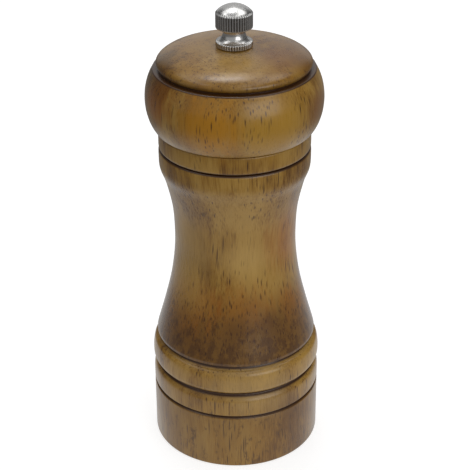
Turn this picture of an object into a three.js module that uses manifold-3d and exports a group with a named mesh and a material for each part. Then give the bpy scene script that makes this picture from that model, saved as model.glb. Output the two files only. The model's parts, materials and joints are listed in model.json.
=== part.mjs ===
// Wooden pepper mill with a turned body, a mushroom-shaped head and a knurled adjusting knob.
// Turning the head turns a square shaft, which turns a ceramic cone inside a ceramic ring.
// Millimetres, +Z up, origin at the centre of the foot.
import * as THREE from "three";
import { mergeVertices } from "three/addons/utils/BufferGeometryUtils.js";
import Module from "manifold-3d";

const wasm = await Module();
wasm.setup();

// Driving dimensions.
const FOOT_R = 30.2; // body at the foot
const WAIST_R = 21.4; // body at its narrowest
const NECK_R = 26.3; // body and collar at the joint with the head
const BODY_TOP = 114.8;
const BULGE_R = 30.4; // the head's widest ring
const BULGE_Z = 132.8;
const SEAT_Z = 150.4; // the flat on the head that the knob presses on
const OVERALL_H = 165;
const KNOB_R = 6.25;
const CHAMBER_R = 14; // the bore that holds the peppercorns
const MILL_BORE_R = 18.6; // the wider bore below it, for the grinder
const LEDGE_Z = 3.5; // the recessed ledge under the foot that the bar is screwed to
const RECESS_R = 24.2;
const SQUARE = 2.5; // half the side of the square shaft
const SQUARE_HOLE = 2.75; // half the side of the holes that slide on it
const THREAD_R = 2.5;
const PIN_R = 2.2; // the round lower end of the shaft
const GAP = 0.3; // between pieces that touch
const ROUND = 32; // facets round the wooden pieces
const SMALL = 18; // facets round small pieces

const rad = THREE.MathUtils.degToRad;
const at = (r, z) => new THREE.Vector2(r, z);

// Points along a circle or ellipse about (r, z), by angle in degrees from straight outwards, up being 90.
function arc(r, z, across, up, from, to, steps) {
  const points = [];
  for (let i = 0; i <= steps; i++) {
    const angle = rad(from + ((to - from) * i) / steps);
    points.push(at(r + across * Math.cos(angle), z + up * Math.sin(angle)));
  }
  return points;
}

// A smooth curve through a few points.
const curve = (points, steps) => new THREE.SplineCurve(points).getPoints(steps);

// An outline turned about the Z axis. It closes on itself, or starts and ends on the axis.
function turned(outline, facets = ROUND) {
  return new THREE.LatheGeometry(outline, facets).rotateX(Math.PI / 2);
}

// A ring of rectangular section.
function ring(inner, outer, low, high, facets = SMALL) {
  return turned([at(inner, low), at(outer, low), at(outer, high), at(inner, high), at(inner, low)], facets);
}

// A round, hexagonal or square bar along Z, by the radius to its corners.
function bar(radius, low, high, sides = SMALL) {
  return turned([at(0, low), at(radius, low), at(radius, high), at(0, high)], sides);
}

// A square bar along Z whose sides lie along X and Y, by half its side.
function squareBar(half, low, high) {
  return new THREE.BoxGeometry(2 * half, 2 * half, high - low).translate(0, 0, (low + high) / 2);
}

// Moves each vertex in or out by what push(radius, angle, z) says.
function reshaped(geometry, push) {
  const position = geometry.attributes.position;
  for (let i = 0; i < position.count; i++) {
    const [x, y, z] = [position.getX(i), position.getY(i), position.getZ(i)];
    const r = Math.hypot(x, y);
    const share = r > 0.01 ? 1 + push(r, Math.atan2(y, x), z) / r : 1;
    position.setXY(i, x * share, y * share);
  }
  return geometry;
}

function solid(geometry) {
  const bare = geometry.index ? geometry.toNonIndexed() : geometry.clone();
  bare.deleteAttribute("normal");
  bare.deleteAttribute("uv");
  const merged = mergeVertices(bare, 1e-4);
  return new wasm.Manifold(
    new wasm.Mesh({
      numProp: 3,
      vertProperties: merged.attributes.position.array,
      triVerts: new Uint32Array(merged.index.array),
    }),
  );
}

function geometryOf(made) {
  const mesh = made.getMesh();
  return new THREE.BufferGeometry()
    .setAttribute("position", new THREE.BufferAttribute(mesh.vertProperties, 3))
    .setIndex(new THREE.BufferAttribute(mesh.triVerts, 1));
}

// The first geometry with the others cut from it, or joined to it.
const cut = (first, ...others) =>
  geometryOf(others.reduce((left, other) => left.subtract(solid(other)), solid(first)));
const joined = (first, ...others) =>
  geometryOf(others.reduce((left, other) => left.add(solid(other)), solid(first)));

// Places round the axis, at one radius and evenly spaced.
function places(count, radius, first = 0) {
  return Array.from({ length: count }, (_, i) => {
    const angle = rad(first) + (2 * Math.PI * i) / count;
    return [radius * Math.cos(angle), radius * Math.sin(angle)];
  });
}

// ---- Body ----

const GROOVE_Z = 21.4; // the fine line above the foot
const COVE_Z = 30.1; // between the flat band and the bead
const BEAD_Z = 34.2; // the bead's widest ring
const LINE_Z = 41.2; // the fine line above the bead

function bodyOutline() {
  const foot = arc(FOOT_R - 0.8, 0.8, 0.8, 0.8, -90, 0, 2);
  const groove = [at(FOOT_R, GROOVE_Z - 0.6), at(FOOT_R - 0.9, GROOVE_Z), at(FOOT_R, GROOVE_Z + 0.6)];
  const bandTop = [at(FOOT_R, COVE_Z - 1.4), at(FOOT_R - 0.5, COVE_Z - 0.7), at(FOOT_R - 1.7, COVE_Z)];
  const [beadR, rollR] = [18, 2.6]; // how round the bead is, and its tighter edges
  const beadMiddle = FOOT_R + 0.1 - beadR;
  const [under, over] = arc(beadMiddle, BEAD_Z, beadR - rollR, beadR - rollR, -3, 13, 1);
  const bead = [
    ...arc(under.x, under.y, rollR, rollR, -65, -34, 1),
    ...arc(beadMiddle, BEAD_Z, beadR, beadR, -3, 13, 3),
    ...arc(over.x, over.y, rollR, rollR, 42, 72, 1),
  ];
  const line = [at(27.4, LINE_Z)];
  const waist = curve(
    [
      at(28.6, LINE_Z + 0.8),
      at(28.3, 44.2),
      at(25.5, 54.1),
      at(23.1, 64.1),
      at(21.7, 74.1),
      at(WAIST_R, 82.4),
      at(22, 92.5),
      at(24.2, 102.5),
      at(26, 107.5),
      at(NECK_R, 111),
    ],
    13,
  );
  const top = [at(NECK_R, BODY_TOP - 0.6), at(NECK_R - 0.6, BODY_TOP)];
  const chamber = [at(CHAMBER_R + 0.8, BODY_TOP), at(CHAMBER_R, BODY_TOP - 0.8), at(CHAMBER_R, 33)];
  const shoulderZ = 26.75;
  const throat = [at(17.2, 28), at(17.2, shoulderZ)];
  const millBore = [at(MILL_BORE_R, shoulderZ), at(MILL_BORE_R, LEDGE_Z)];
  const recess = [at(RECESS_R, LEDGE_Z), at(RECESS_R, 0), foot[0]];
  const outside = [...foot, ...groove, ...bandTop, ...bead, ...line, ...waist, ...top];
  return [...outside, ...chamber, ...throat, ...millBore, ...recess];
}

const BAR_SCREW_X = 21.3;
const barScrewPlaces = places(2, BAR_SCREW_X);
const PILOT_R = 1.6;

function bodyGeometry() {
  const pilots = barScrewPlaces.map(([x, y]) => bar(PILOT_R, LEDGE_Z - 1, 14, 10).translate(x, y, 0));
  return cut(turned(bodyOutline()), ...pilots);
}

// ---- Head ----

const COLLAR_LOW = BODY_TOP + 0.4;
const COLLAR_HIGH = 121.2; // where the bulge starts
const TENON_LOW = 109.4;
const STEP_Z = 143.4; // between the bulge and the dome
const HEAD_HOLE_R = 4.1;
const PLATE_SCREW_AT = 8.3;
const plateScrewPlaces = places(3, PLATE_SCREW_AT, 90);
const PLATE_PILOT_R = 1.45;

function headOutline() {
  const tenonR = CHAMBER_R - 0.4;
  const tenon = [at(HEAD_HOLE_R, TENON_LOW), at(tenonR - 0.5, TENON_LOW), at(tenonR, TENON_LOW + 0.5)];
  const collar = [
    at(tenonR, COLLAR_LOW + 0.8),
    at(CHAMBER_R + 1.2, COLLAR_LOW),
    at(NECK_R - 0.6, COLLAR_LOW),
    at(NECK_R - 0.05, COLLAR_LOW + 0.55),
    at(NECK_R - 0.05, COLLAR_HIGH),
    at(NECK_R - 0.5, COLLAR_HIGH + 0.6),
  ];
  const [across, up] = [9, 14];
  const bulge = arc(BULGE_R - across, BULGE_Z, across, up, -50, 46, 9);
  const step = [at(27.4, STEP_Z - 0.1), at(25.4, STEP_Z + 0.1)];
  const dome = curve(
    [
      at(25.8, STEP_Z + 0.6),
      at(26.3, 145.6),
      at(24.5, 147.7),
      at(19.5, 149.35),
      at(13, 150.15),
      at(KNOB_R + 0.4, SEAT_Z),
    ],
    9,
  );
  return [...tenon, ...collar, ...bulge, ...step, ...dome, at(HEAD_HOLE_R, SEAT_Z), tenon[0]];
}

function headGeometry() {
  const pilots = plateScrewPlaces.map(([x, y]) =>
    bar(PLATE_PILOT_R, TENON_LOW - 1, 118.5, 10).translate(x, y, 0),
  );
  return cut(turned(headOutline()), ...pilots);
}

// ---- Knob ----

const KNOB_LOW = SEAT_Z + GAP;
const RIM_HIGH = KNOB_LOW + 1.7; // the ribbed rim at its foot
const GRIP_LOW = 157.05; // the ribbed grip
const GRIP_HIGH = 162.05;
const CROWN_R = 8.2; // the sphere of its domed top
const BORE_TOP = 162.6;
const RIBS = 42;

function knobGeometry() {
  const rim = [at(THREAD_R + GAP, KNOB_LOW), at(KNOB_R, KNOB_LOW), at(KNOB_R, RIM_HIGH)];
  const neck = curve([at(5.2, RIM_HIGH + 0.3), at(4.1, 154), at(3.8, 155.6), at(4.1, GRIP_LOW - 0.25)], 4);
  const grip = [at(KNOB_R, GRIP_LOW), at(KNOB_R, GRIP_HIGH)];
  const crown = arc(0, OVERALL_H - CROWN_R, CROWN_R, CROWN_R, 43, 90, 4);
  const bore = [at(0, BORE_TOP), at(THREAD_R + GAP, BORE_TOP), at(THREAD_R + GAP, KNOB_LOW)];
  const plain = turned([...rim, ...neck, ...grip, ...crown, ...bore], 2 * RIBS);
  return reshaped(plain, (r, angle) => (r > KNOB_R - 0.01 ? -0.16 * (1 - Math.cos(RIBS * angle)) : 0));
}

// ---- Shaft and what turns with it ----

const SHAFT_TOP = 160.5;
const SQUARE_TOP = 148.4;
const SQUARE_LOW = 6.2;
const PIN_LOW = 1.2;
const CLIP_LOW = 4.2;
const CLIP_HIGH = 4.9;

function shaftGeometry() {
  const thread = bar(THREAD_R, SQUARE_TOP - 1, SHAFT_TOP);
  const pin = turned(
    [
      at(0, PIN_LOW),
      at(PIN_R - 0.5, PIN_LOW),
      at(PIN_R, PIN_LOW + 0.5),
      at(PIN_R, CLIP_LOW - 0.2),
      at(1.6, CLIP_LOW - 0.2),
      at(1.6, CLIP_HIGH + 0.2),
      at(PIN_R, CLIP_HIGH + 0.2),
      at(PIN_R, SQUARE_LOW + 1),
      at(0, SQUARE_LOW + 1),
    ],
    SMALL,
  );
  return joined(squareBar(SQUARE, SQUARE_LOW, SQUARE_TOP), thread, pin);
}

const CLIP_R = 4.3;

function clipGeometry() {
  const plain = ring(1.95, CLIP_R, CLIP_LOW, CLIP_HIGH);
  const mouth = new THREE.BoxGeometry(CLIP_R + 1, 2.6, 3).translate((CLIP_R + 1) / 2, 0, CLIP_LOW);
  return cut(plain, mouth);
}

const ROTOR_LOW = 6.3;
const ROTOR_HIGH = 16;
const HUB_HIGH = 17.3;
const HEX_R = 5.8; // to the corners of the hub's hexagon
const FINE_SLOPE = 0.25; // how fast both grinding faces narrow upwards in the fine zone

function rotorGeometry() {
  const fineHigh = 9.8;
  const [lowR, highR] = [12.9, 12.9 - FINE_SLOPE * (fineHigh - ROTOR_LOW)];
  const plain = turned(
    [
      at(0, ROTOR_LOW),
      at(lowR, ROTOR_LOW),
      at((lowR + highR) / 2, (ROTOR_LOW + fineHigh) / 2),
      at(highR, fineHigh),
      at(10.9, 11.6),
      at(9.4, 13.4),
      at(8.1, 15.2),
      at(7.6, ROTOR_HIGH),
      at(0, ROTOR_HIGH),
    ],
    48,
  );
  const toothed = reshaped(plain, (r, angle, z) => {
    const fine = z < fineHigh - 0.1;
    const wave = fine ? Math.cos(24 * angle) : Math.cos(8 * (angle + 0.09 * (z - fineHigh)));
    return r > 7 ? -(fine ? 0.25 : 0.5) * (1 - wave) : 0;
  });
  return cut(toothed, bar(HEX_R + 0.4, ROTOR_LOW - 1, ROTOR_HIGH + 1, 6));
}

function hubGeometry() {
  const hexagon = bar(HEX_R, ROTOR_LOW, ROTOR_HIGH + 1, 6);
  const flange = bar(6.9, ROTOR_HIGH + GAP, HUB_HIGH);
  return cut(joined(hexagon, flange), squareBar(SQUARE_HOLE, ROTOR_LOW - 1, HUB_HIGH + 1));
}

const BOSS_LOW = 28.6;
const BOSS_HIGH = 33.2;
const BUSH_LOW = 27.3;

function bushGeometry() {
  const flange = bar(6.6, BUSH_LOW, BOSS_LOW - GAP);
  const sleeve = bar(5.1, BUSH_LOW + 0.5, BOSS_HIGH + 0.4);
  return cut(joined(flange, sleeve), squareBar(SQUARE_HOLE, BUSH_LOW - 1, BOSS_HIGH + 2));
}

const SPRING_WASHER_LOW = 26.4;

// A coil that climbs more slowly towards its two ends.
class Coil extends THREE.Curve {
  constructor(radius, low, high, turns) {
    super();
    Object.assign(this, { radius, low, high, turns });
  }
  getPoint(t) {
    const angle = 2 * Math.PI * this.turns * t;
    const climb = t - (0.35 * Math.sin(2 * Math.PI * t)) / (2 * Math.PI);
    return new THREE.Vector3(
      this.radius * Math.cos(angle),
      this.radius * Math.sin(angle),
      this.low + (this.high - this.low) * climb,
    );
  }
}

const WIRE_R = 0.42;

function springGeometry() {
  const section = new THREE.Shape().absarc(0, 0, WIRE_R, 0, 2 * Math.PI);
  const [low, high] = [HUB_HIGH + GAP + WIRE_R, SPRING_WASHER_LOW - GAP - WIRE_R];
  return new THREE.ExtrudeGeometry(section, {
    extrudePath: new Coil(5, low, high, 6),
    steps: 72,
    curveSegments: 3,
  });
}

// ---- Grinder ring and its housing ----

const HOUSING_R = 18.2;
const STATOR_R = 16.6;
const STATOR_HIGH = 20;

function statorGeometry() {
  const [low, fineLow, fineHigh] = [LEDGE_Z + 0.1, 6, 11];
  const fineR = (z) => 13.6 - FINE_SLOPE * (z - fineLow);
  const plain = turned(
    [
      at(15.2, low),
      at(STATOR_R, low),
      at(STATOR_R, STATOR_HIGH),
      at(14.6, STATOR_HIGH),
      at(12.9, 16.5),
      at(12.35, 13.5),
      at(fineR(fineHigh), fineHigh),
      at(fineR(8.5), 8.5),
      at(fineR(fineLow), fineLow),
      at(15.2, low),
    ],
    48,
  );
  return reshaped(plain, (r, angle, z) => {
    if (r > 14 || z > 17) {
      return 0;
    }
    return z < fineHigh + 0.1 ? 0.25 * (1 - Math.cos(24 * angle)) : 0.4 * (1 - Math.cos(8 * angle));
  });
}

const HOUSING_LOW = LEDGE_Z + 0.1;
const HOUSING_HIGH = 26.4;

function housingGeometry() {
  const [liner, throat, boss] = [STATOR_R + GAP, 15.3, 8.2];
  const shell = turned([
    at(liner, HOUSING_LOW),
    at(HOUSING_R, HOUSING_LOW),
    at(HOUSING_R, HOUSING_HIGH),
    at(16.8, HOUSING_HIGH),
    at(boss + 0.5, 32.2),
    at(boss, BOSS_HIGH),
    at(5.5, BOSS_HIGH),
    at(5.5, BOSS_LOW),
    at(boss - 0.6, BOSS_LOW),
    at(boss - 0.2, 30.4),
    at(throat, 25.2),
    at(throat, STATOR_HIGH + GAP),
    at(liner, STATOR_HIGH + GAP),
    at(liner, HOUSING_LOW),
  ]);
  const [inner, outer, spread] = [boss + 0.6, throat - 0.2, rad(38)];
  const windows = [0, 120, 240].map((degrees) => {
    const shape = new THREE.Shape();
    const middle = rad(degrees + 30);
    shape.absarc(0, 0, outer, middle - spread, middle + spread, false);
    shape.absarc(0, 0, inner, middle + spread, middle - spread, true);
    const extent = { depth: 14, bevelEnabled: false, curveSegments: 3 };
    return new THREE.ExtrudeGeometry(shape, extent).translate(0, 0, 22);
  });
  return cut(shell, ...windows);
}

// ---- Plates and screws ----

const BAR_LOW = 2;
const BAR_HIGH = LEDGE_Z - GAP;

function barGeometry() {
  const [endR, half] = [RECESS_R - 0.5, 5];
  const end = Math.asin(half / endR);
  const shape = new THREE.Shape();
  shape.absarc(0, 0, endR, -end, end, false);
  shape.absarc(0, 0, endR, Math.PI - end, Math.PI + end, false);
  const plain = new THREE.ExtrudeGeometry(shape, {
    depth: BAR_HIGH - BAR_LOW,
    bevelEnabled: false,
    curveSegments: 4,
  }).translate(0, 0, BAR_LOW);
  const holes = barScrewPlaces.map(([x, y]) => bar(1.6, 0, 5, 12).translate(x, y, 0));
  return cut(plain, bar(PIN_R + 0.4, 0, 5), ...holes);
}

const PLATE_LOW = 107.6;
const PLATE_HIGH = TENON_LOW - GAP;

function plateGeometry() {
  const holes = plateScrewPlaces.map(([x, y]) => bar(PLATE_PILOT_R, 100, 120, 12).translate(x, y, 0));
  return cut(bar(11.5, PLATE_LOW, PLATE_HIGH, 24), squareBar(SQUARE_HOLE, 100, 120), ...holes);
}

const SCREW_HEAD_H = 1.2;

// A pan-head wood screw, point up, with its head's top face at z = 0 facing down and a cross recess in it.
function screwGeometry(headR, shankR, length) {
  const plain = turned(
    [
      at(0, 0),
      at(headR - 0.5, 0),
      at(headR, 0.5),
      at(headR, SCREW_HEAD_H),
      at(shankR, SCREW_HEAD_H),
      at(shankR, length - 2),
      at(0, length),
    ],
    12,
  );
  const slot = [headR * 1.1, 0.5, 1];
  const recess = joined(new THREE.BoxGeometry(...slot), new THREE.BoxGeometry(slot[1], slot[0], slot[2]));
  return cut(plain, recess);
}

// ---- Assembly ----

const MATERIALS = {
  wood: new THREE.MeshStandardMaterial({ color: 0x8a5f2c, roughness: 0.42, metalness: 0 }),
  knobMetal: new THREE.MeshStandardMaterial({ color: 0xb9b9bb, roughness: 0.22, metalness: 1 }),
  steel: new THREE.MeshStandardMaterial({ color: 0xa6a8aa, roughness: 0.35, metalness: 1 }),
  springSteel: new THREE.MeshStandardMaterial({ color: 0x8f9296, roughness: 0.3, metalness: 1 }),
  ceramic: new THREE.MeshStandardMaterial({ color: 0xe8e4da, roughness: 0.5, metalness: 0 }),
  housing: new THREE.MeshStandardMaterial({ color: 0x1d1d1f, roughness: 0.55, metalness: 0 }),
  acetal: new THREE.MeshStandardMaterial({ color: 0xd9d6cc, roughness: 0.5, metalness: 0 }),
};

const mill = new THREE.Group();

function add(name, geometry, material, x = 0, y = 0, z = 0) {
  const mesh = new THREE.Mesh(geometry, MATERIALS[material]);
  mesh.name = name;
  mesh.position.set(x, y, z);
  mill.add(mesh);
}

add("body", bodyGeometry(), "wood");
add("head", headGeometry(), "wood");
add("knob", knobGeometry(), "knobMetal");
add("shaft", shaftGeometry(), "steel");
add("turn_plate", plateGeometry(), "steel");
add("grinder_housing", housingGeometry(), "housing");
add("stator_ring", statorGeometry(), "ceramic");
add("rotor_cone", rotorGeometry(), "ceramic");
add("rotor_hub", hubGeometry(), "acetal");
add("shaft_bush", bushGeometry(), "acetal");
add("spring", springGeometry(), "springSteel");
add("spring_washer", ring(3.9, 6.4, SPRING_WASHER_LOW, SPRING_WASHER_LOW + 0.6), "steel");
add("rotor_washer", ring(2.5, 6.6, 5.2, 5.9), "steel");
add("shaft_clip", clipGeometry(), "springSteel");
add("retaining_bar", barGeometry(), "steel");

const barScrew = screwGeometry(2.5, 1.25, 11);
const barScrewZ = BAR_LOW - GAP - SCREW_HEAD_H;
barScrewPlaces.forEach(([x, y], i) => {
  add(`bar_screw_${i + 1}`, barScrew, "steel", x, y, barScrewZ);
});

const plateScrew = screwGeometry(2.1, 1.1, 11);
const plateScrewZ = PLATE_LOW - GAP - SCREW_HEAD_H;
plateScrewPlaces.forEach(([x, y], i) => {
  add(`plate_screw_${i + 1}`, plateScrew, "steel", x, y, plateScrewZ);
});

export default mill;
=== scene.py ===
"""Looks of a turned wooden pepper mill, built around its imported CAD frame. Metres, +Z up."""

import json
import math

import bmesh
import bpy
from mathutils import Matrix, Vector


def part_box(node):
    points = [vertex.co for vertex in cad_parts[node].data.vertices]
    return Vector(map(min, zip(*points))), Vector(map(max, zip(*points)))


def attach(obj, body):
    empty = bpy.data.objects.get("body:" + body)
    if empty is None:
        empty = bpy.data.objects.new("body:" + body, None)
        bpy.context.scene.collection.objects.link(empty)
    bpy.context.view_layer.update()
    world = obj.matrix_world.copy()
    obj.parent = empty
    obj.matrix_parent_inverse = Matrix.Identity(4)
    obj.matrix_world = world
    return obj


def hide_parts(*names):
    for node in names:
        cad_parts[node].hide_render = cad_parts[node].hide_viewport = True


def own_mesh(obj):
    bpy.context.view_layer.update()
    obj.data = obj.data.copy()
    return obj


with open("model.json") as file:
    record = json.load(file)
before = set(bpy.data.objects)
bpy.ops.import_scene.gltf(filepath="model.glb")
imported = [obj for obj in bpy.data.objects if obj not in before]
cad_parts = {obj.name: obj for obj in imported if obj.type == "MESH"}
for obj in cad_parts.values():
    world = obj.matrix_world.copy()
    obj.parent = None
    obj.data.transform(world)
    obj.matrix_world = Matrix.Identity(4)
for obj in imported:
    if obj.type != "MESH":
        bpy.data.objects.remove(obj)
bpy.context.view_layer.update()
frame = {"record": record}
scene = bpy.context.scene

MM = 0.001
SMOOTH = 192  # facets round the wood
SMALL = 96  # facets round small pieces


# ---- Sizes in millimetres, from the frame where it holds them ----


def size(node):
    """The lowest and highest corner of a CAD node."""
    low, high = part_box(node)
    return low / MM, high / MM


def heights(node):
    low, high = size(node)
    return low.z, high.z


BEAD_R = size("body")[1].x
FOOT_R = BEAD_R - 0.1
BODY_TOP = size("body")[1].z
BULGE_R = size("head")[1].x
TENON_LOW, SEAT_Z = heights("head")
KNOB_R = size("knob")[1].x
KNOB_LOW, TOP_Z = heights("knob")

# Turned rings on the body and head, from the foot up.
RECESS_R = 24.2
LEDGE_Z = 3.5
FOOT_LINE = 21.4
COVE_Z = 30.1
BEAD_Z = 34.2
WAIST_LINE = 41.2
LIP_R = 28.6  # the waist's wide lower end
WAIST_R = 21.4
NECK_R = 26.3
COLLAR_LOW = BODY_TOP + 0.08
COLLAR_HIGH = 121.2
BULGE_Z = 132.8
STEP_Z = 143.4
STEP_R = 27.5  # the bulge's upper edge

# Bores, and the square shaft through them.
CHAMBER_R = 14
MILL_BORE_R = 18.6
SHAFT_HALF = 2.5  # half the side of the square shaft
HOLE_HALF = 2.75  # half the side of the square holes on it
HOLE_SIDE = 2 * HOLE_HALF
PAST = 1.0  # how far a cutting tool reaches past what it cuts


# ---- Outlines ----


def arc(r, z, across, up, start, end, steps):
    """Points along an ellipse about (r, z), by angle in degrees, 90 being up."""
    angles = [math.radians(start + (end - start) * i / steps) for i in range(steps + 1)]
    return [(r + across * math.cos(a), z + up * math.sin(a)) for a in angles]


def smooth(points, steps):
    """A Catmull-Rom curve through a few points, with so many steps between two."""
    padded = [Vector(p) for p in (points[0], *points, points[-1])]
    made = []
    for a, b, c, d in zip(padded, padded[1:], padded[2:], padded[3:]):
        for i in range(steps):
            t = i / steps
            turn = (2 * a - 5 * b + 4 * c - d) * t**2 + (3 * b - a - 3 * c + d) * t**3
            made.append(tuple(0.5 * (2 * b + (c - a) * t + turn)))
    return [*made, points[-1]]


def rounded(points, steps=4):
    """Straight lines through points. One given as (r, z, radius) has its corner rounded off."""
    made = []
    for i, point in enumerate(points):
        if len(point) == 2:
            made.append(tuple(point))
            continue
        here = Vector(point[:2])
        before = Vector(points[i - 1][:2]) - here
        after = Vector(points[(i + 1) % len(points)][:2]) - here
        start = here + before.normalized() * min(point[2], before.length * 0.49)
        end = here + after.normalized() * min(point[2], after.length * 0.49)
        for j in range(steps + 1):
            t = j / steps
            made.append(tuple(start * (1 - t) ** 2 + here * 2 * t * (1 - t) + end * t**2))
    return made


def climb(r, low, high, step):
    """Points straight up at one radius, a step apart."""
    count = max(round((high - low) / step), 1)
    return [(r, low + (high - low) * i / count) for i in range(count + 1)]


def near(spots):
    """A weight that is 1 at each spot (r, z, reach) of a section and fades out within its reach."""
    return lambda r, z: max(math.exp(-(((r - a) ** 2 + (z - b) ** 2) / reach**2)) for a, b, reach in spots)


def round_bar(radius):
    return lambda angle: radius


def square_bar(half, corner):
    """How far a square bar reaches at each angle, with its edges turned down to a corner radius."""
    return lambda angle: min(half / max(abs(math.cos(angle)), abs(math.sin(angle))), corner)


def places(count, radius, first=0.0):
    """Places round the axis, at one radius and evenly spaced, from an angle in degrees."""
    angles = [math.radians(first) + 2 * math.pi * i / count for i in range(count)]
    return [(radius * math.cos(a), radius * math.sin(a)) for a in angles]


# ---- Mesh making ----


def finished(name, made, sharp=35):
    """An object for a bmesh, in metres from millimetres, shaded smooth apart from its sharp edges."""
    bmesh.ops.remove_doubles(made, verts=made.verts, dist=1e-4)
    bmesh.ops.recalc_face_normals(made, faces=made.faces)
    bmesh.ops.scale(made, vec=(MM, MM, MM), verts=made.verts)
    mesh = bpy.data.meshes.new(name)
    made.to_mesh(mesh)
    made.free()
    piece = bpy.data.objects.new(name, mesh)
    scene.collection.objects.link(piece)
    return shaded(piece, sharp)


def shaded(piece, sharp=35):
    piece.data.shade_smooth()
    piece.data.set_sharp_from_angle(angle=math.radians(sharp))
    return piece


def turned(outline, facets=SMALL, push=None):
    """A bmesh of a closed half section turned about Z. push(r, angle, z) moves its points out."""
    made = bmesh.new()
    rings = []
    for i in range(facets):
        angle = 2 * math.pi * i / facets
        ring = []
        for r, z in outline:
            reach = max(r + (push(r, angle, z) if push else 0), 0)
            ring.append(made.verts.new((reach * math.cos(angle), reach * math.sin(angle), z)))
        rings.append(ring)
    count = len(outline)
    for i in range(facets):
        here, there = rings[i], rings[(i + 1) % facets]
        for j in range(count):
            k = (j + 1) % count
            if outline[j][0] > 1e-9 or outline[k][0] > 1e-9:
                made.faces.new((here[j], there[j], there[k], here[k]))
    bmesh.ops.dissolve_degenerate(made, edges=made.edges, dist=1e-6)
    return made


def lofted(levels, facets):
    """A bmesh of a bar along Z through levels of (z, reach), where reach(angle) is its radius there."""
    made = bmesh.new()
    rings = []
    for z, reach in levels:
        angles = [2 * math.pi * i / facets for i in range(facets)]
        rings.append([made.verts.new((reach(a) * math.cos(a), reach(a) * math.sin(a), z)) for a in angles])
    for low, high in zip(rings, rings[1:]):
        for i in range(facets):
            j = (i + 1) % facets
            made.faces.new((low[i], low[j], high[j], high[i]))
    made.faces.new(rings[0])
    made.faces.new(rings[-1])
    return made


def prism(corners, low, high):
    """A bmesh of an outline in X and Y, raised from one height to another."""
    made = bmesh.new()
    bottom = [made.verts.new((x, y, low)) for x, y in corners]
    top = [made.verts.new((x, y, high)) for x, y in corners]
    made.faces.new(bottom)
    made.faces.new(top)
    for i in range(len(corners)):
        j = (i + 1) % len(corners)
        made.faces.new((bottom[i], bottom[j], top[j], top[i]))
    return made


def disc(radius, low, high, facets=48, centre=(0, 0)):
    return prism([(x + centre[0], y + centre[1]) for x, y in places(facets, radius)], low, high)


def box(across, deep, low, high):
    x, y = across / 2, deep / 2
    return prism([(-x, -y), (x, -y), (x, y), (-x, y)], low, high)


def moved(made, x, y, z=0.0):
    bmesh.ops.translate(made, vec=(x, y, z), verts=made.verts)
    return made


def worked(piece, **modifier):
    """The piece with one modifier made part of its mesh."""
    kind = modifier.pop("kind")
    added = piece.modifiers.new(kind.lower(), kind)
    for key, value in modifier.items():
        setattr(added, key, value)
    graph = bpy.context.evaluated_depsgraph_get()
    piece.data = bpy.data.meshes.new_from_object(piece.evaluated_get(graph))
    piece.modifiers.clear()
    return piece


def cut(piece, *tools, operation="DIFFERENCE"):
    """Cuts each bmesh out of the piece, or joins it on."""
    for made in tools:
        tool = finished("tool", made)
        worked(piece, kind="BOOLEAN", object=tool, operation=operation, solver="EXACT")
        bpy.data.objects.remove(tool)
    return piece


def broken(piece, width, segments=2, angle=40):
    """Takes the sharpness off the piece's edges."""
    worked(
        piece,
        kind="BEVEL",
        width=width * MM,
        segments=segments,
        limit_method="ANGLE",
        angle_limit=math.radians(angle),
    )
    return shaded(piece, angle)


def weigh(piece, **weights):
    """Stores each weight(r, z), in millimetres, as an attribute of the piece's points."""
    for name, weight in weights.items():
        values = [weight(math.hypot(v.co.x, v.co.y) / MM, v.co.z / MM) for v in piece.data.vertices]
        piece.data.attributes.new(name, "FLOAT", "POINT").data.foreach_set("value", values)
    return piece


BODY_OF = {node: body for body, nodes in frame["record"]["behaviour"]["bodies"].items() for node in nodes}


def place(piece, material, node):
    """Gives a piece its material and lets it stand for its CAD node, on the node's body."""
    piece.data.materials.clear()
    piece.data.materials.append(material)
    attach(piece, BODY_OF[node])
    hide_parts(node)
    return piece


# ---- Material making ----


def srgb(red, green, blue):
    """A screen colour, 0 to 255, as the linear colour that nodes take."""
    shares = [c / 255 for c in (red, green, blue)]
    linear = [c / 12.92 if c <= 0.04045 else ((c + 0.055) / 1.055) ** 2.4 for c in shares]
    return (*linear, 1.0)


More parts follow.
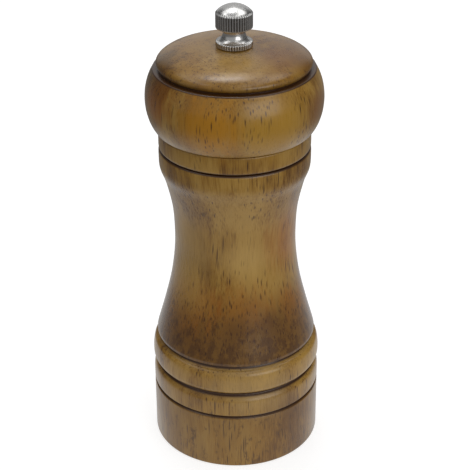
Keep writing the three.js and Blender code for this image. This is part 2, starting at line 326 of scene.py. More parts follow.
class Graph:
    """The nodes of one material or world, added by short calls that return the socket of interest."""

    def __init__(self, owner):
        self.owner = owner
        owner.use_nodes = True
        self.tree = owner.node_tree
        self.tree.nodes.clear()

    def put(self, target, value):
        if isinstance(value, bpy.types.NodeSocket):
            self.tree.links.new(value, target)
        else:
            target.default_value = value

    def node(self, kind, inputs=(), **settings):
        made = self.tree.nodes.new("ShaderNode" + kind)
        for key, value in settings.items():
            setattr(made, key, value)
        for key, value in dict(inputs).items():
            self.put(made.inputs[key], value)
        return made

    def surface(self, **inputs):
        """Ends the material in a Principled shader with these inputs, and returns the material."""
        shader = self.node("BsdfPrincipled")
        for key, value in inputs.items():
            self.put(shader.inputs[key.replace("_", " ")], value)
        self.node("OutputMaterial", {"Surface": shader.outputs["BSDF"]})
        return self.owner

    def millimetres(self, shift=(0, 0, 0)):
        return self.stretched(self.node("TexCoord").outputs["Object"], (1 / MM,) * 3, shift)

    def weight(self, name):
        return self.node("Attribute", attribute_name=name).outputs["Fac"]

    def math(self, operation, a, b=0.0, clamp=False):
        return self.node("Math", {0: a, 1: b}, operation=operation, use_clamp=clamp).outputs[0]

    def total(self, *terms):
        """The sum of (value, factor) terms."""
        added = 0.0
        for value, factor in terms:
            added = self.node("Math", {0: value, 1: factor, 2: added}, operation="MULTIPLY_ADD").outputs[0]
        return added

    def stretched(self, vector, scale, location=(0, 0, 0)):
        made = self.node("Mapping", {"Vector": vector, "Scale": scale, "Location": location})
        return made.outputs["Vector"]

    def noise(self, vector, detail=2.0, roughness=0.5):
        inputs = {"Vector": vector, "Scale": 1.0, "Detail": detail, "Roughness": roughness}
        return self.node("TexNoise", inputs).outputs["Fac"]

    def spread(self, value, low, high, out_low=0.0, out_high=1.0):
        """Maps low to out_low and high to out_high smoothly, and holds them beyond."""
        inputs = {"Value": value, "From Min": low, "From Max": high, "To Min": out_low, "To Max": out_high}
        return self.node("MapRange", inputs, interpolation_type="SMOOTHSTEP").outputs["Result"]

    def mix(self, factor, a, b):
        return self.node("Mix", {"Factor": factor, 6: a, 7: b}, data_type="RGBA").outputs[2]

    def bump(self, height, distance, strength=1.0):
        inputs = {"Height": height, "Distance": distance, "Strength": strength}
        return self.node("Bump", inputs).outputs["Normal"]


def material_graph(name):
    return Graph(bpy.data.materials.new(name))


# ---- Wood ----

STRAW = srgb(196, 160, 92)
GOLD = srgb(176, 138, 66)
HONEY = srgb(178, 134, 44)
AMBER = srgb(182, 124, 18)
ORANGE = srgb(182, 118, 40)
OLIVE = srgb(152, 112, 42)
RUSSET = srgb(150, 88, 8)
RED = srgb(120, 72, 30)
DARK = srgb(106, 70, 20)
MOSS = srgb(84, 66, 36)
UMBER = srgb(72, 42, 12)
PORE = srgb(64, 36, 10)
BURNT_AND_SHADE = srgb(64, 37, 13)  # in the turned lines and the joints: burnt lines, and painted shade of their depth
RAW = srgb(182, 138, 88)  # unstained, inside the mill


def pores(g, grain):
    """Open pores: dark dashes along the grain, long and short, which crowd together in places
    and show more where the stain is heavy."""
    groups = g.noise(g.stretched(grain, (0.09, 0.09, 0.04), (2, 9, 30)), detail=3)
    crowd = g.total((groups, 1), (g.weight("stain"), 0.16))
    # Width and length of a pore's cell in millimetres, how much of it the pore fills, and its darkness.
    sorts = ((1.4, 22.0, 0.2, 0.9), (1.2, 11.0, 0.22, 1.0), (0.9, 5.5, 0.22, 0.6))
    made = 0.0
    for cell, length, reach, share in sorts:
        shape = g.stretched(grain, (1 / cell, 1 / cell, 1 / length), (length, cell, 0))
        away = g.node("TexVoronoi", {"Vector": shape, "Scale": 1.0}).outputs["Distance"]
        made = g.math("MAXIMUM", made, g.spread(away, reach * 0.3, reach * 1.3, share, 0))
    return g.math("MULTIPLY", made, g.spread(crowd, 0.4, 0.58, 0.15, 1))


def wood(name, shift, patches):
    """Stained and lacquered hardwood with its grain along Z. shift takes it from another place
    in the tree, and patches are (centre, reach, colour, strength): tones of the wood, and some painted shade
    and painted highlights."""
    g = material_graph(name)
    here = g.millimetres()
    drift = g.noise(g.stretched(here, (0.03, 0.03, 0.014), shift), detail=1)
    aside = {"X": g.math("MULTIPLY", drift, 9.0), "Y": g.math("MULTIPLY", drift, -7.0)}
    wander = g.node("CombineXYZ", aside).outputs["Vector"]
    swayed = g.node("VectorMath", {0: here, 1: wander}, operation="ADD").outputs["Vector"]
    grain = g.stretched(swayed, (1, 1, 1), shift)

    # Growth rings round a pith that lies outside the blank.
    from_pith = g.stretched(grain, (1, 1, 0.06), (38, -55, 0))
    ring = g.node("VectorMath", {0: from_pith}, operation="LENGTH").outputs["Value"]
    ripple = g.noise(g.stretched(grain, (0.25, 0.25, 0.02)), detail=3)
    rings = g.math("SINE", g.total((ring, 1.15), (ripple, 7.0)))

    # Tone, from broad figure to single fibres.
    broad = g.noise(g.stretched(grain, (0.05, 0.05, 0.024), (11, 3, 7)), detail=3, roughness=0.55)
    streak = g.noise(g.stretched(grain, (0.45, 0.45, 0.03)), detail=4, roughness=0.6)
    fibre = g.noise(g.stretched(grain, (2.6, 2.6, 0.14)), detail=3, roughness=0.65)
    tone = g.total((broad, 1.25), (streak, 0.45), (rings, 0.03), (fibre, 0.55))
    colour = g.mix(g.spread(tone, 0.88, 1.14), DARK, OLIVE)
    colour = g.mix(g.spread(tone, 1.06, 1.32), colour, GOLD)

    # Ragged patches of tone, painted shade and painted highlights, then the stain and its mottling.
    for centre, reach, tint, strength in patches:
        away = g.node("VectorMath", {0: here, 1: centre}, operation="DISTANCE").outputs["Value"]
        ragged = g.total((away, 1), (streak, reach * 1.2), (broad, reach * 0.8))
        colour = g.mix(g.spread(ragged, reach * 1.3, reach * 2.3, strength, 0), colour, tint)
    stain = g.total((g.weight("stain"), 1.2), (broad, 0.9), (streak, 1.2), (fibre, 0.4))
    colour = g.mix(g.spread(stain, 1.2, 2.5, 0, 0.9), colour, DARK)
    mottle = g.noise(g.stretched(grain, (0.4, 0.4, 0.22), (5, 0, 2)), detail=4, roughness=0.7)
    mottled = g.total((mottle, 1), (g.weight("stain"), 0.22))
    colour = g.mix(g.spread(mottled, 0.65, 0.8, 0, 0.65), colour, UMBER)

    # Pores, burnt lines with painted shade in the grooves and joints, and raw wood.
    dashes = pores(g, grain)
    colour = g.mix(g.math("MULTIPLY", dashes, 0.9), colour, PORE)
    # Burnt lines, with painted shade of their depth, in the grooves and the joints.
    colour = g.mix(g.spread(g.weight("groove"), 0.15, 0.75), colour, BURNT_AND_SHADE)
    raw = g.weight("raw")
    colour = g.mix(raw, colour, g.mix(fibre, OLIVE, RAW))

    rough = g.total((fibre, 0.1), (broad, 0.08), (raw, 0.3), (g.weight("groove"), 0.1))
    height = g.total((fibre, 0.25), (dashes, -0.5))
    return g.surface(
        Base_Color=colour,
        Roughness=g.math("ADD", rough, 0.2),
        Specular_IOR_Level=0.25,
        Coat_Weight=0.6,
        Coat_Roughness=0.25,
        Normal=g.bump(height, 0.0001, 0.5),
    )


body_wood = wood(
    "body_wood",
    (0, 0, 0),
    [
        ((21, -12, 84), 14, ORANGE, 0.5),
        ((23, -14, 55), 11, ORANGE, 0.6),
        ((3, -24, 60), 13, RUSSET, 0.6),
        ((-18, -18, 61), 12, ORANGE, 0.55),
        ((-17, -20, 50), 10, RUSSET, 0.6),
        ((20, -17, 61), 9, RUSSET, 0.6),
        ((13, -22, 53), 8, UMBER, 0.75),
        ((1, -26, 53), 7, UMBER, 0.65),
        # Painted highlight at the front of the waist.
        ((3, -21, 80), 9, STRAW, 0.45),
        # Paler wood over the bead, partly a painted highlight.
        ((6, -29, 36), 16, STRAW, 0.5),
        # Lighter wood on the waist's left, partly painted light against its shade.
        ((-19, -12, 82), 14, GOLD, 0.7),
        ((-20, -15, 66), 11, GOLD, 0.6),
    ],
)
head_wood = wood(
    "head_wood",
    (17, 9, 40),
    [
        # Painted shade at the bulge's left and right edges, on darker wood there.
        ((-26, -15, 137), 9, RUSSET, 0.75),
        ((28, -11, 133), 8, RED, 0.7),
        ((0, -14, 150), 12, STRAW, 0.6),
        ((16, -8, 150), 9, RED, 0.5),
        ((21, 3, 148), 9, DARK, 0.6),
        # Painted shade on the dome's right and left sides, on darker wood there.
        ((24, -8, 146), 8, DARK, 0.7),
        ((-25, -5, 146), 9, MOSS, 0.75),
        # Painted shadow under the step, on the bulge's left.
        ((-24, -13, 142), 8, UMBER, 0.5),
        ((-11, -27, 141), 7, DARK, 0.5),
        # Golden wood on the bulge's front, partly a painted lit centre.
        ((12, -28, 132), 13, HONEY, 0.85),
        ((-8, -28, 133), 12, AMBER, 0.85),
    ],
)


# ---- Metal, ceramic and plastic ----


# Painted shade for the grooves of knurled steel.
KNURL_SHADE = srgb(156, 152, 148)


def metal(name, tint, roughness, marks, marks_scale):
    """Bright steel with fine marks, and painted shade where it is knurled. marks_scale stretches the marks,
    so that they run along or round."""
    g = material_graph(name)
    here = g.millimetres()
    smudge = g.noise(g.stretched(here, (0.35, 0.35, 0.35)), detail=3)
    scratch = g.noise(g.stretched(here, marks_scale), detail=3, roughness=0.7)
    dull = (*(c * 0.82 for c in tint[:3]), 1)
    rough = g.total((smudge, 0.12), (scratch, 0.1))
    colour = g.mix(g.total((smudge, 0.7), (scratch, 0.3)), dull, tint)
    return g.surface(
        # Painted shade in the knurl's grooves.
        Base_Color=g.mix(g.weight("knurl"), colour, KNURL_SHADE),
        Metallic=1.0,
        Roughness=g.math("ADD", rough, roughness - 0.1),
        Normal=g.bump(scratch, 0.00002, marks),
    )


def moulded(name, dark, light, roughness, grain):
    """Moulded plastic or fired ceramic: a fine surface grain and slight marks."""
    g = material_graph(name)
    here = g.millimetres()
    mottle = g.noise(g.stretched(here, (0.3, 0.3, 0.3)), detail=3)
    fine = g.noise(g.stretched(here, (grain,) * 3))
    return g.surface(
        Base_Color=g.mix(mottle, dark, light),
        Roughness=g.total((mottle, 0.15), (fine, 0.05), (1.0, roughness)),
        Normal=g.bump(fine, 0.00003, 0.5),
    )


knob_steel = metal("knob_steel", srgb(222, 221, 219), 0.24, 0.25, (1.2, 1.2, 16))
turned_steel = metal("turned_steel", srgb(200, 200, 201), 0.28, 0.4, (1.5, 1.5, 14))
rolled_steel = metal("rolled_steel", srgb(190, 191, 192), 0.32, 0.5, (0.6, 12, 12))
drawn_steel = metal("drawn_steel", srgb(176, 177, 180), 0.3, 0.4, (9, 9, 0.5))
ceramic = moulded("ceramic", srgb(222, 216, 202), srgb(240, 236, 226), 0.4, 9)
housing_plastic = moulded("housing_plastic", srgb(22, 22, 24), srgb(38, 38, 40), 0.42, 7)
acetal = moulded("acetal", srgb(214, 210, 198), srgb(232, 228, 218), 0.33, 5)


# ---- The turned wood ----


def body_piece():
    foot = [(RECESS_R, 0, 0.4), (FOOT_R, 0, 0.8)]
    line_half = 0.75  # half the width of the line cut round the foot
    line = [
        (FOOT_R, FOOT_LINE - line_half, 0.3),
        (FOOT_R - 1, FOOT_LINE, 0.12),
        (FOOT_R, FOOT_LINE + line_half, 0.3),
    ]
    cove = [
        (FOOT_R, COVE_Z - 2.1, 1.8),
        (FOOT_R - 1.1, COVE_Z - 0.5, 0.8),
        (FOOT_R - 1.9, COVE_Z + 0.1, 0.4),
    ]

    # The bead is nearly flat between two tighter rolls, by angles in degrees up its section.
    bead_r, roll_r = 18, 2.6
    flat_from, flat_to = -3, 13
    bead_middle = BEAD_R - bead_r
    inset = bead_r - roll_r
    under, over = arc(bead_middle, BEAD_Z, inset, inset, flat_from, flat_to, 1)
    low_roll = arc(*under, roll_r, roll_r, -65, flat_from, 10)[:-1]
    bead = [*low_roll, *arc(bead_middle, BEAD_Z, bead_r, bead_r, flat_from, flat_to, 10)]
    roll = arc(*over, roll_r, roll_r, flat_to, 72, 12)

    lip = [(27.35, WAIST_LINE, 0.15), (LIP_R, WAIST_LINE + 0.8, 0.35)]
    waist = smooth(
        [
            (LIP_R, 42.9),
            (28.3, 44.2),
            (25.5, 54.1),
            (23.1, 64.1),
            (21.7, 74.1),
            (WAIST_R, 82.4),
            (22, 92.5),
            (24.2, 102.5),
            (26, 107.5),
            (NECK_R, 111),
        ],
        8,
    )
    lower = rounded([*foot, *line, *cove, bead[0]])[:-1]
    edge = rounded([roll[-1], *lip, waist[0]])[1:-1]
    rim = [(NECK_R, BODY_TOP, 1.15), (CHAMBER_R + 0.3, BODY_TOP, 0.6)]
    top = rounded([waist[-1], *rim, (CHAMBER_R, 33)])[1:]
    throat_r, mill_top = 17.2, 26.75
    throat = [(throat_r, 28), (throat_r, mill_top)]
    bore = [*throat, (MILL_BORE_R, mill_top), (MILL_BORE_R, LEDGE_Z), (RECESS_R, LEDGE_Z)]
    outline = [*lower, *bead, *roll[1:], *edge, *waist, *top, *bore]
    piece = finished("turned_body", turned(outline, SMOOTH))
    pilots = [moved(disc(1.4, LEDGE_Z - PAST, 14, 24), x, y) for x, y in BAR_SCREWS]
    cut(piece, *pilots)

    def stain(r, z):
        """None on the bead, a little on the foot, and more and more down the waist."""
        if z > WAIST_LINE:
            return max(0.0, min(1.0, (70 - z) / 22))
        if z > COVE_Z:
            return 0.0
        return 0.15 if z > FOOT_LINE else 0.45

    def raw(r, z):
        in_bore = r < CHAMBER_R + 5 and z < BODY_TOP - 0.1
        in_recess = r < RECESS_R + 0.1 and z < LEDGE_Z + 0.1
        return 1.0 if in_bore or in_recess else 0.0

    # Grooves and the joint, darkened by burnt lines and painted shade.
    grooves = [
        (FOOT_R - 0.8, FOOT_LINE - 0.2, 0.8),
        (FOOT_R - 1.8, COVE_Z + 0.2, 1.1),
        (27.5, WAIST_LINE, 0.8),
        (NECK_R - 0.5, BODY_TOP, 0.75),
    ]
    weigh(shaded(piece), groove=near(grooves), stain=stain, raw=raw)
    return place(piece, body_wood, "body")


def head_piece():
    hole_r = 4.1
    tenon_r = CHAMBER_R - 0.4
    tenon = [(tenon_r, TENON_LOW, 0.6), (tenon_r, COLLAR_LOW + 0.5), (tenon_r + 1.4, COLLAR_LOW)]
    collar_r = NECK_R - 0.05
    collar = [
        (collar_r, COLLAR_LOW, 1.15),
        (collar_r, COLLAR_HIGH - 0.1, 0.3),
        (collar_r - 0.65, COLLAR_HIGH + 0.5, 0.1),
    ]
    across, up = 9, 14
    bulge = arc(BULGE_R - across, BULGE_Z, across, up, -50, 45, 40)
    step = [(STEP_R, STEP_Z - 0.1, 0.35), (25.4, STEP_Z + 0.1, 0.15)]
    dome = smooth(
        [
            (25.5, STEP_Z + 0.35),
            (26.1, STEP_Z + 1.2),
            (26.3, 145.4),
            (25.7, 146.4),
            (24.2, 147.5),
            (22, 148.5),
            (19, 149.35),
            (13, 150.15),
            (KNOB_R + 0.4, SEAT_Z),
        ],
        6,
    )
    outline = [
        *rounded([(hole_r, TENON_LOW), *tenon, *collar, bulge[0]])[:-1],
        *bulge,
        *rounded([bulge[-1], *step, dome[0]])[1:-1],
        *dome,
        (hole_r, SEAT_Z),
    ]
    piece = finished("turned_head", turned(outline, SMOOTH))
    pilots = [moved(disc(1.2, TENON_LOW - PAST, 118.5, 24), x, y) for x, y in PLATE_SCREWS]
    cut(piece, *pilots)

    def stain(r, z):
        return 0.4 if z > STEP_Z else 0.0

    def raw(r, z):
        on_tenon = r < NECK_R - 2 and z < COLLAR_LOW + 1
        return 1.0 if on_tenon or r < hole_r + 0.1 else 0.0

    # Grooves and the joints, darkened by burnt lines and painted shade.
    grooves = [
        (25.7, STEP_Z + 0.1, 0.7),
        (STEP_R, STEP_Z, 0.5),
        (NECK_R - 0.6, COLLAR_HIGH + 0.5, 0.45),
        (NECK_R - 0.5, COLLAR_LOW, 0.75),
    ]
    weigh(shaded(piece), groove=near(grooves), stain=stain, raw=raw)
    return place(piece, head_wood, "head")


# ---- The knob ----

RIBS = 42


def knob_piece():
    bore_r, bore_top = 2.8, 162.6
    rim_high = KNOB_LOW + 1.7
    grip_low, grip_high = 157.05, 162.15
    crown_r = 8.2
    rim_flank = climb(KNOB_R, KNOB_LOW + 0.4, rim_high - 0.35, 0.5)
    rim = [(bore_r, KNOB_LOW), (KNOB_R, KNOB_LOW, 0.25), *rim_flank, (KNOB_R, rim_high, 0.2)]
    neck = smooth([(5.2, rim_high + 0.35), (4.3, 153.6), (3.9, 154.6), (3.8, 155.8), (4.1, 156.8)], 6)
    grip_flank = climb(KNOB_R, grip_low + 0.4, grip_high - 0.5, 1)
    grip = [(KNOB_R, grip_low, 0.25), *grip_flank, (KNOB_R, grip_high, 0.35)]
    crown = arc(0, TOP_Z - crown_r, crown_r, crown_r, 42, 90, 20)
    outline = [
        *rounded([*rim, neck[0]])[:-1],
        *neck,
        *rounded([neck[-1], *grip, crown[0]])[1:-1],
        *crown,
        (0, bore_top),
        (bore_r, bore_top),
    ]

    def ribbed(r, angle, z):
        """Grooves between straight ribs, which fade out within the rounding of the edges."""
        reach = min(max((r - KNOB_R + 0.45) / 0.3, 0), 1)
        return -0.38 * reach * (1 - abs(math.cos(RIBS * angle / 2)) ** 0.8)

    def knurl(r, z):
        """Painted shade of the knurl: full at the bottom of the grooves and slight on the ribs."""
        straight = KNOB_LOW + 0.3 < z < rim_high - 0.25 or grip_low + 0.3 < z < grip_high - 0.4
        if not straight or r <= KNOB_R - 0.5:
            return 0.0
        return min(max((KNOB_R - r) / 0.15 + 0.3, 0), 1)

    piece = finished("knurled_knob", turned(outline, RIBS * 10, ribbed), 50)
    return place(weigh(piece, knurl=knurl), knob_steel, "knob")


# ---- The shaft and what turns with it ----

THREAD_PITCH = 0.8

# The grinding teeth of cone and ring: fine ones below, coarse ones above.
FINE_TEETH = 24
COARSE_TEETH = 8
FINE_SLANT = 0.035  # radians for each millimetre up
TAPER = 0.25  # how much narrower for each millimetre up


def threaded(radius, depth, pitch, low):
    """How far a screw thread reaches, by height and angle."""

    def reach(z, angle):
        turn = ((z - low) / pitch - angle / (2 * math.pi)) % 1
        return radius - depth * abs(2 * turn - 1)

    return reach


def shaft_piece():
    low, top = heights("shaft")
    square_low, square_top = 6.2, 148.4
    pin_r, clip_r = 2.2, 1.6
    groove_low, groove_high = size("shaft_clip")[0].z - 0.2, size("shaft_clip")[1].z + 0.2
    pin, groove = round_bar(pin_r), round_bar(clip_r)
    square = square_bar(SHAFT_HALF, 3.35)
    neck = square_bar(SHAFT_HALF, SHAFT_HALF + 0.05)
    levels = [(low, round_bar(pin_r - 0.5)), (low + 0.5, pin), (groove_low, pin), (groove_low, groove)]
    levels += [(groove_high, groove), (groove_high, pin), (square_low, pin), (square_low, neck)]
    levels += [(square_low + 0.5, square), (square_top - 0.5, square), (square_top, neck)]
    reach = threaded(SHAFT_HALF, 0.45, THREAD_PITCH, square_top)
    for _, z in climb(0, square_top + 0.3, top - 0.5, THREAD_PITCH / 8):
        levels.append((z, lambda angle, z=z: reach(z, angle)))
    levels.append((top, round_bar(1.8)))
    return place(finished("square_shaft", lofted(levels, 72), 30), drawn_steel, "shaft")


def clip_piece():
    low, high = heights("shaft_clip")
    outer = size("shaft_clip")[1].x
    inner = 1.95
    outline = rounded([(inner, low, 0.1), (outer, low, 0.1), (outer, high, 0.1), (inner, high, 0.1)])
    piece = finished("spring_clip", turned(outline, SMALL))
    mouth = moved(box(6, 2.6, low - PAST, high + PAST), 3, 0)
    relief = [moved(disc(1.0, low - PAST, high + PAST, 24), 0.3, side * 1.9) for side in (-1, 1)]
    return place(broken(cut(piece, mouth, *relief), 0.08), drawn_steel, "shaft_clip")


def washer_piece(node, inner):
    low, high = heights(node)
    outer = size(node)[1].x
    fillet = 0.15
    section = [(inner, low, fillet), (outer, low, fillet), (outer, high, fillet), (inner, high, fillet)]
    return place(finished(f"{node}_disc", turned(rounded(section))), turned_steel, node)


def square_hole(low, high):
    """The tool for the hole that a piece between two heights has for the shaft."""
    return box(HOLE_SIDE, HOLE_SIDE, low - PAST, high + PAST)


def saw(count, turn):
    """How far along one of so many equal teeth an angle in radians lies, from 0 to 1."""
    return (count * turn / (2 * math.pi)) % 1


def rotor_piece():
    low, high = heights("rotor_cone")
    fine_high = 9.8
    foot = [(12.9 - TAPER * (z - low), z) for _, z in climb(0, low, fine_high, 0.35)]
    coarse = smooth([foot[-1], (10.9, 11.6), (9.4, 13.4), (8.1, 15.2), (7.6, high - 0.1)], 6)
    outline = [(5, low), *foot, *coarse[1:], (7.4, high), (5, high)]

    def toothed(r, angle, z):
        if r < 6:
            return 0.0
        if z < fine_high + 0.01:
            return -0.5 * saw(FINE_TEETH, angle + FINE_SLANT * (z - low))
        depth = min(0.25 * (z - fine_high) + 0.3, 1.0)
        return -depth * saw(COARSE_TEETH, angle + 0.09 * (z - fine_high))

    piece = finished("grinding_cone", turned(outline, 288, toothed), 28)
    return place(cut(piece, disc(6.2, low - PAST, high + PAST, 6)), ceramic, "rotor_cone")


def hub_piece():
    low, high = heights("rotor_hub")
    flange_low = high - 1
    piece = finished("cone_hub", disc(5.8, low, flange_low + 0.5, 6))
    cut(piece, disc(6.9, flange_low, high, 64), operation="UNION")
    return place(broken(cut(piece, square_hole(low, high)), 0.2), acetal, "rotor_hub")


def bush_piece():
    low, high = heights("shaft_bush")
    core_r, neck_r, flange_r, flange_top = 3, 5.1, 6.6, 28.3
    flange = [(flange_r, low, 0.2), (flange_r, flange_top, 0.2)]
    section = [(core_r, low), *flange, (neck_r, flange_top), (neck_r, high, 0.3), (core_r, high)]
    piece = finished("bearing_bush", turned(rounded(section)))
    cut(piece, disc(core_r + 0.5, low, high - 0.01, 48), operation="UNION")
    return place(broken(cut(piece, square_hole(low, high)), 0.15), acetal, "shaft_bush")


def spring_piece():
    """A coil of round wire whose end turns lie flat."""
    low, high = heights("spring")
    wire, coil, turns, around = 0.42, 5.0, 6, 14
    steps = turns * 40
    made = bmesh.new()
    rings = []
    for i in range(steps + 1):
        t = i / steps
        angle = 2 * math.pi * turns * t
        rise = t - 0.35 * math.sin(2 * math.pi * t) / (2 * math.pi)
        z = low + wire + (high - low - 2 * wire) * rise
        ring = []
        for j in range(around):
            turn = 2 * math.pi * j / around
            r = coil + wire * math.cos(turn)
            ring.append(made.verts.new((r * math.cos(angle), r * math.sin(angle), z + wire * math.sin(turn))))
        rings.append(ring)
    for here, there in zip(rings, rings[1:]):
        for j in range(around):
            k = (j + 1) % around
            made.faces.new((here[j], there[j], there[k], here[k]))
    made.faces.new(rings[0])
    made.faces.new(rings[-1])
    piece = place(finished("coil_spring", made), drawn_steel, "spring")
    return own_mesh(piece)


# ---- The fixed ring and its housing ----


def stator_piece():
    low, high = heights("stator_ring")
    outer = size("stator_ring")[1].x
    fine_low, fine_high, coarse_high = 6, 11, 17
    fine = [(13.6 - TAPER * (z - fine_low), z) for _, z in reversed(climb(0, fine_low, fine_high, 0.4))]
    coarse = smooth([(14.6, high), (12.9, 16.5), (12.35, 13.5), fine[0]], 8)
    outline = [(15.2, low), (outer, low), (outer, high), *coarse[:-1], *fine]

    def toothed(r, angle, z):
        if r > 14 or z > coarse_high:
            return 0.0
        if z < fine_high + 0.01:
            return 0.5 * saw(FINE_TEETH, angle - FINE_SLANT * (z - fine_low))
        return 0.8 * saw(COARSE_TEETH, angle) * min((coarse_high - z) / 2, 1)

    return place(finished("grinding_ring", turned(outline, 288, toothed), 28), ceramic, "stator_ring")


def sector(inner, outer, middle, spread, low, high):
    """A bmesh of a stretch of a ring, by its middle and half spread in degrees."""
    bend = 16
    outside = arc(0, 0, outer, outer, middle - spread, middle + spread, bend)
    inside = arc(0, 0, inner, inner, middle + spread, middle - spread, bend)
    return prism([*outside, *inside], low, high)


def housing_piece():
    low, top = heights("grinder_housing")
    outer = size("grinder_housing")[1].x
    liner = size("stator_ring")[1].x + 0.3
    stator_high = size("stator_ring")[1].z + 0.3
    throat, boss, bush_r, shoulder = 15.3, 8.2, 5.5, 26.4
    section = [
        (liner, low),
        (outer, low, 0.3),
        (outer, shoulder, 0.5),
        (16.8, shoulder, 0.6),
        (boss + 0.5, top - 1, 0.8),
        (boss, top, 0.4),
        (bush_r, top, 0.3),
        (bush_r, 28.6, 0.2),
        (boss - 0.6, 28.6, 0.3),
        (boss - 0.2, 30.4, 0.6),
        (throat, 25.2, 0.6),
        (throat, stator_high),
        (liner, stator_high),
    ]
    piece = finished("moulded_housing", turned(rounded(section), SMALL))
    windows = [sector(boss + 0.6, throat - 0.2, middle, 38, 22, 36) for middle in (30, 150, 270)]
    return place(broken(cut(piece, *windows), 0.15), housing_plastic, "grinder_housing")


# ---- Plates and screws ----

BAR_SCREWS = places(2, 21.3)
PLATE_SCREWS = places(3, 8.3, 90)


def bar_piece():
    low, high = heights("retaining_bar")
    half = size("retaining_bar")[1].y
    reach = RECESS_R - 0.5
    end = math.degrees(math.asin(half / reach))
    corners = [*arc(0, 0, reach, reach, -end, end, 10), *arc(0, 0, reach, reach, 180 - end, 180 + end, 10)]
    piece = finished("cross_bar", prism(corners, low, high))
    holes = [moved(disc(1.6, low - PAST, high + PAST), x, y) for x, y in BAR_SCREWS]
    cut(piece, disc(2.6, low - PAST, high + PAST), *holes)
    return place(broken(piece, 0.2, 3), rolled_steel, "retaining_bar")


def plate_piece():
    low, high = heights("turn_plate")
    piece = finished("drive_plate", disc(11.5, low, high, SMALL))
    holes = [moved(disc(1.45, low - PAST, high + PAST), x, y) for x, y in PLATE_SCREWS]
    cut(piece, square_hole(low, high), *holes)
    return place(broken(piece, 0.2, 3), rolled_steel, "turn_plate")


def screw_piece(node, x, y, head_r, shank_r, head_h=1.2, pitch=1.1):
    """A pan-head wood screw, point up, with a cross recess in the face of its head."""
    low, high = heights(node)
    collar = low + head_h
    face = [(0, low), *arc(head_r - 0.9, low + 0.9, 0.9, 0.9, -90, 0, 6)]
    root = shank_r - 0.3
    thread_low, thread_high = collar + 0.4, high - 2
    shank = [(head_r, collar), (root, collar), *climb(root + 0.01, thread_low, thread_high, pitch / 8)]

    def helix(r, angle, z):
        if r > root + 0.02 or z < thread_low or z > thread_high:
            return 0.0
        turn = ((z - low) / pitch - angle / (2 * math.pi)) % 1
        return max(0.3 - 1.2 * abs(turn - 0.5), 0)

    piece = finished(f"{node}_cross_head", turned([*face, *shank, (0, high)], 48, helix))
    for across, deep in ((head_r * 1.15, 0.55), (0.55, head_r * 1.15)):
        cut(piece, box(across, deep, low - 0.5, low + 0.85))
    shaded(piece)
    piece.data.transform(Matrix.Translation((x * MM, y * MM, 0)))
    return place(piece, turned_steel, node)


def make_pieces():
    body_piece()
    head_piece()
    knob_piece()
    shaft_piece()
    clip_piece()
    washer_piece("spring_washer", 3.9)
    washer_piece("rotor_washer", 2.5)
    rotor_piece()
    hub_piece()
    bush_piece()
    spring_piece()
    stator_piece()
    housing_piece()
    bar_piece()
    plate_piece()
    for i, (x, y) in enumerate(BAR_SCREWS):
        screw_piece(f"bar_screw_{i + 1}", x, y, 2.5, 1.25)
    for i, (x, y) in enumerate(PLATE_SCREWS):
        screw_piece(f"plate_screw_{i + 1}", x, y, 2.1, 1.1)


make_pieces()


# ---- Camera, floor and light ----


def camera():
    elevation = math.radians(28.14)
    distance = 0.5012
    target = Vector((-0.0001, 0, 0.0792))
    data = bpy.data.cameras.new("camera")
    data.lens = 107.86
    data.clip_end = 20
    made = bpy.data.objects.new("camera", data)
    place_at = target + distance * Vector((0, -math.cos(elevation), math.sin(elevation)))
    aim = (target - place_at).to_track_quat("-Z", "Y").to_matrix().to_4x4()
    roll = Matrix.Rotation(math.radians(-0.32), 4, "Z")
    made.matrix_world = Matrix.Translation(place_at) @ aim @ roll
    scene.collection.objects.link(made)
    scene.camera = made


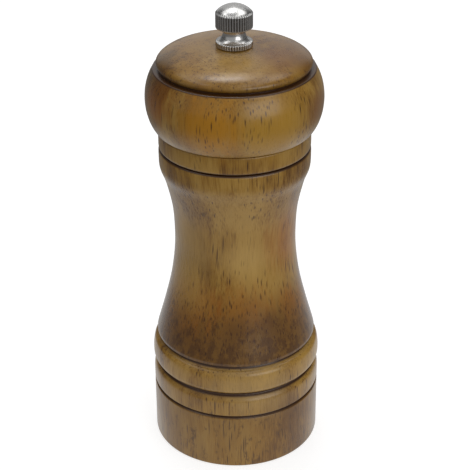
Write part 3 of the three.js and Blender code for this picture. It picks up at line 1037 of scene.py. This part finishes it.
def floor():
    """A pale floor that glows a little, so that the mill's shadow on it stays faint.
    What it casts on the mill is darker, most of all from afar."""
    half = 4
    corners = [(-half, -half, 0), (half, -half, 0), (half, half, 0), (-half, half, 0)]
    mesh = bpy.data.meshes.new("floor")
    mesh.from_pydata(corners, [], [(0, 1, 2, 3)])
    made = bpy.data.objects.new("floor", mesh)
    made.location.z = -0.0002
    scene.collection.objects.link(made)
    g = material_graph("floor")
    here = g.millimetres()
    seen = g.node("LightPath").outputs["Is Camera Ray"]
    pale = g.mix(g.noise(here), (0.44, 0.44, 0.44, 1), (0.46, 0.46, 0.46, 1))
    tint = g.mix(seen, (0.15, 0.15, 0.15, 1), pale)
    away = g.node("VectorMath", {0: here}, operation="LENGTH").outputs["Value"]
    dim = g.spread(away, 90, 250, 0.6, 0.05)
    bright = g.spread(away, 100, 1500, 0.74, 1.0)
    glow = g.node("Mix", {"Factor": seen, 2: dim, 3: bright}).outputs[0]
    mesh.materials.append(
        g.surface(Base_Color=tint, Roughness=0.9, Emission_Color=(1, 1, 1, 1), Emission_Strength=glow)
    )


def softbox(name, direction, across, along, radiance, distance=1.0):
    """A panel that faces the mill. along is its extent in the upright plane that it lies in."""
    data = bpy.data.lights.new(name, "AREA")
    data.shape = "RECTANGLE"
    data.size = across
    data.size_y = along
    data.energy = math.pi * across * along * radiance
    made = bpy.data.objects.new(name, data)
    made.location = Vector(direction).normalized() * distance + Vector((0, 0, 0.1))
    made.rotation_euler = (-Vector(direction)).to_track_quat("-Z", "Y").to_euler()
    scene.collection.objects.link(made)


def surroundings():
    """A dim room with a white backdrop, which the camera itself sees as white all round."""
    world = bpy.data.worlds.new("room")
    scene.world = world
    g = Graph(world)
    along = g.node("SeparateXYZ", {0: g.node("TexCoord").outputs["Generated"]})
    behind = g.spread(along.outputs["Y"], 0.3, 0.7)
    centred = g.spread(g.math("ABSOLUTE", along.outputs["X"]), 0.35, 0.6, 1, 0)
    ahead = g.spread(along.outputs["Y"], 0.1, -0.3)
    strength = g.total((g.math("MULTIPLY", behind, centred), 0.42), (ahead, 0.3), (1.0, 0.1))
    lit = g.node("Background", {"Strength": strength})
    seen = g.node("Background", {"Strength": 1.0})
    camera_ray = g.node("LightPath").outputs["Is Camera Ray"]
    either = g.node("MixShader", {0: camera_ray, 1: lit.outputs[0], 2: seen.outputs[0]})
    for background in (lit, seen):
        background.inputs["Color"].default_value = (1, 1, 1, 1)
    g.node("OutputWorld", {"Surface": either.outputs[0]})


camera()
floor()
surroundings()
softbox("ceiling_back", (0, 0.27, 0.96), 1.6, 0.5, 1.2)
softbox("ceiling_right", (0.34, -0.13, 0.93), 1.1, 0.26, 1.2)
softbox("ceiling_left", (-0.56, -0.12, 0.82), 0.55, 0.26, 1.2)
softbox("lamp", (-0.08, 0.26, 0.96), 0.3, 0.17, 6.5, distance=0.85)
softbox("window", (0.58, -0.78, 0.3), 0.75, 0.6, 1.9)
scene.view_settings.view_transform = "Standard"
